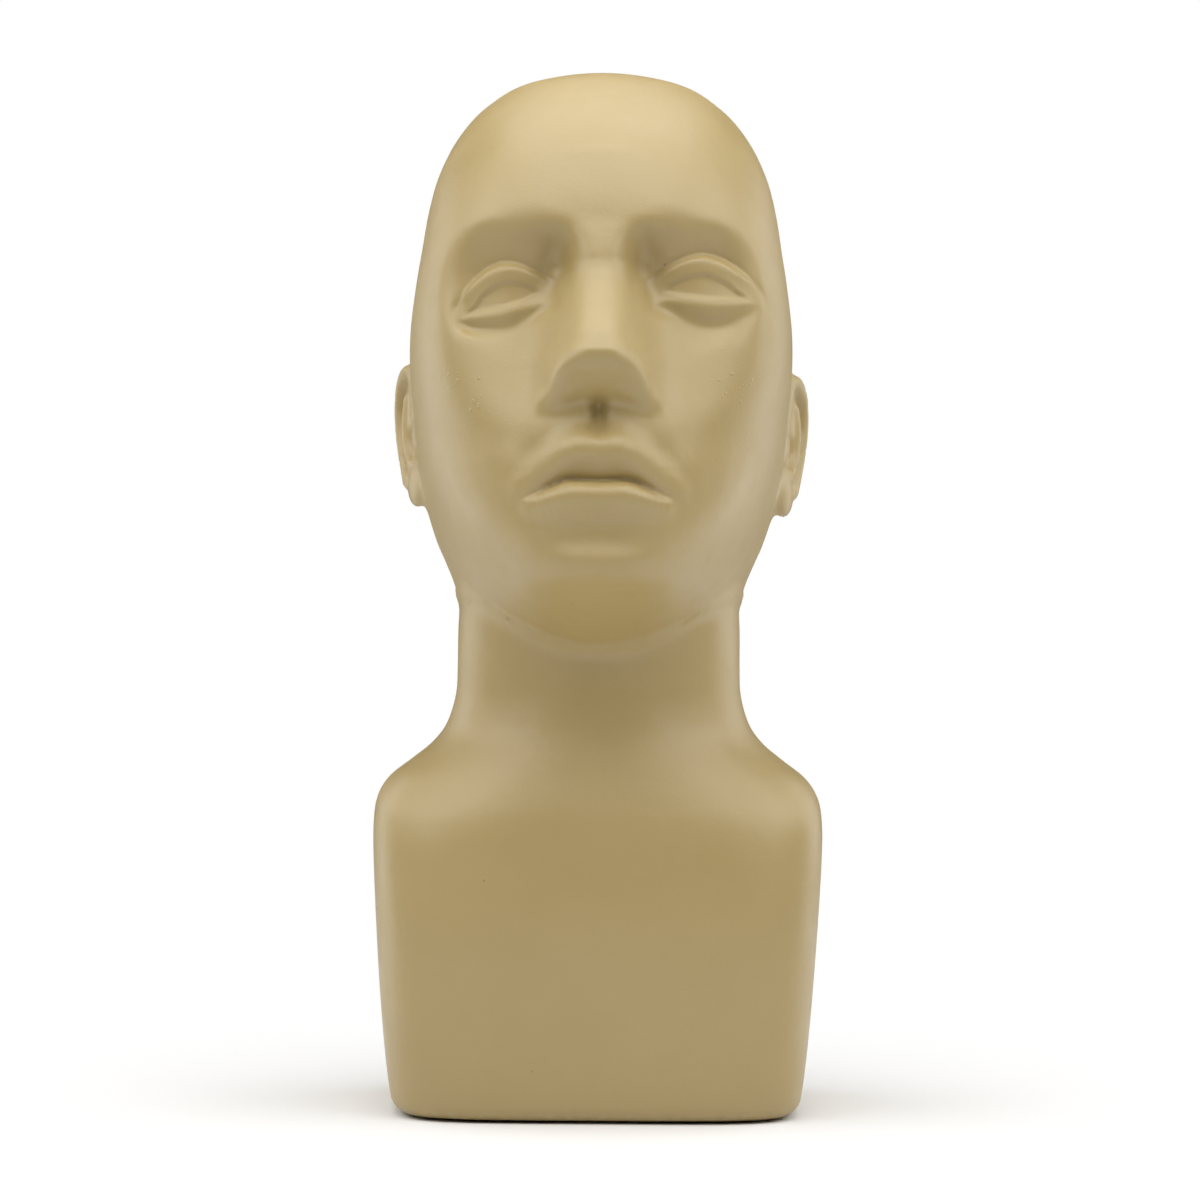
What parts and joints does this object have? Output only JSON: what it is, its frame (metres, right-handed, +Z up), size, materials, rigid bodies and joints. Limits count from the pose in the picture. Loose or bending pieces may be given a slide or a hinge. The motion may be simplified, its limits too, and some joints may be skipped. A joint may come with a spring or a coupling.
{
  "type": "mannequin head with short bust",
  "caption": "Bald life-size mannequin head with neck and short squared bust, a hollow moulded shell that stands on its flat base.",
  "frame": {"origin": "middle of the overall footprint, on the surface it stands on", "axes": "+Z up, the face looks towards -Y, +X to the mannequin's left"},
  "size_m": [0.184, 0.2168, 0.43],
  "materials": {
    "shell_plastic": "satin moulded PVC, sand coloured, very fine grain",
    "plate_plastic": "grained dark polypropylene sheet",
    "screw_steel": "zinc plated",
    "foot_rubber": "matt black"
  },
  "bodies": {
    "root": {"shell": "shell_plastic", "base_plate": "plate_plastic", "base_screws": "screw_steel", "foot_front_left": "foot_rubber", "foot_front_right": "foot_rubber", "foot_back_left": "foot_rubber", "foot_back_right": "foot_rubber"}
  },
  "joints": []
}
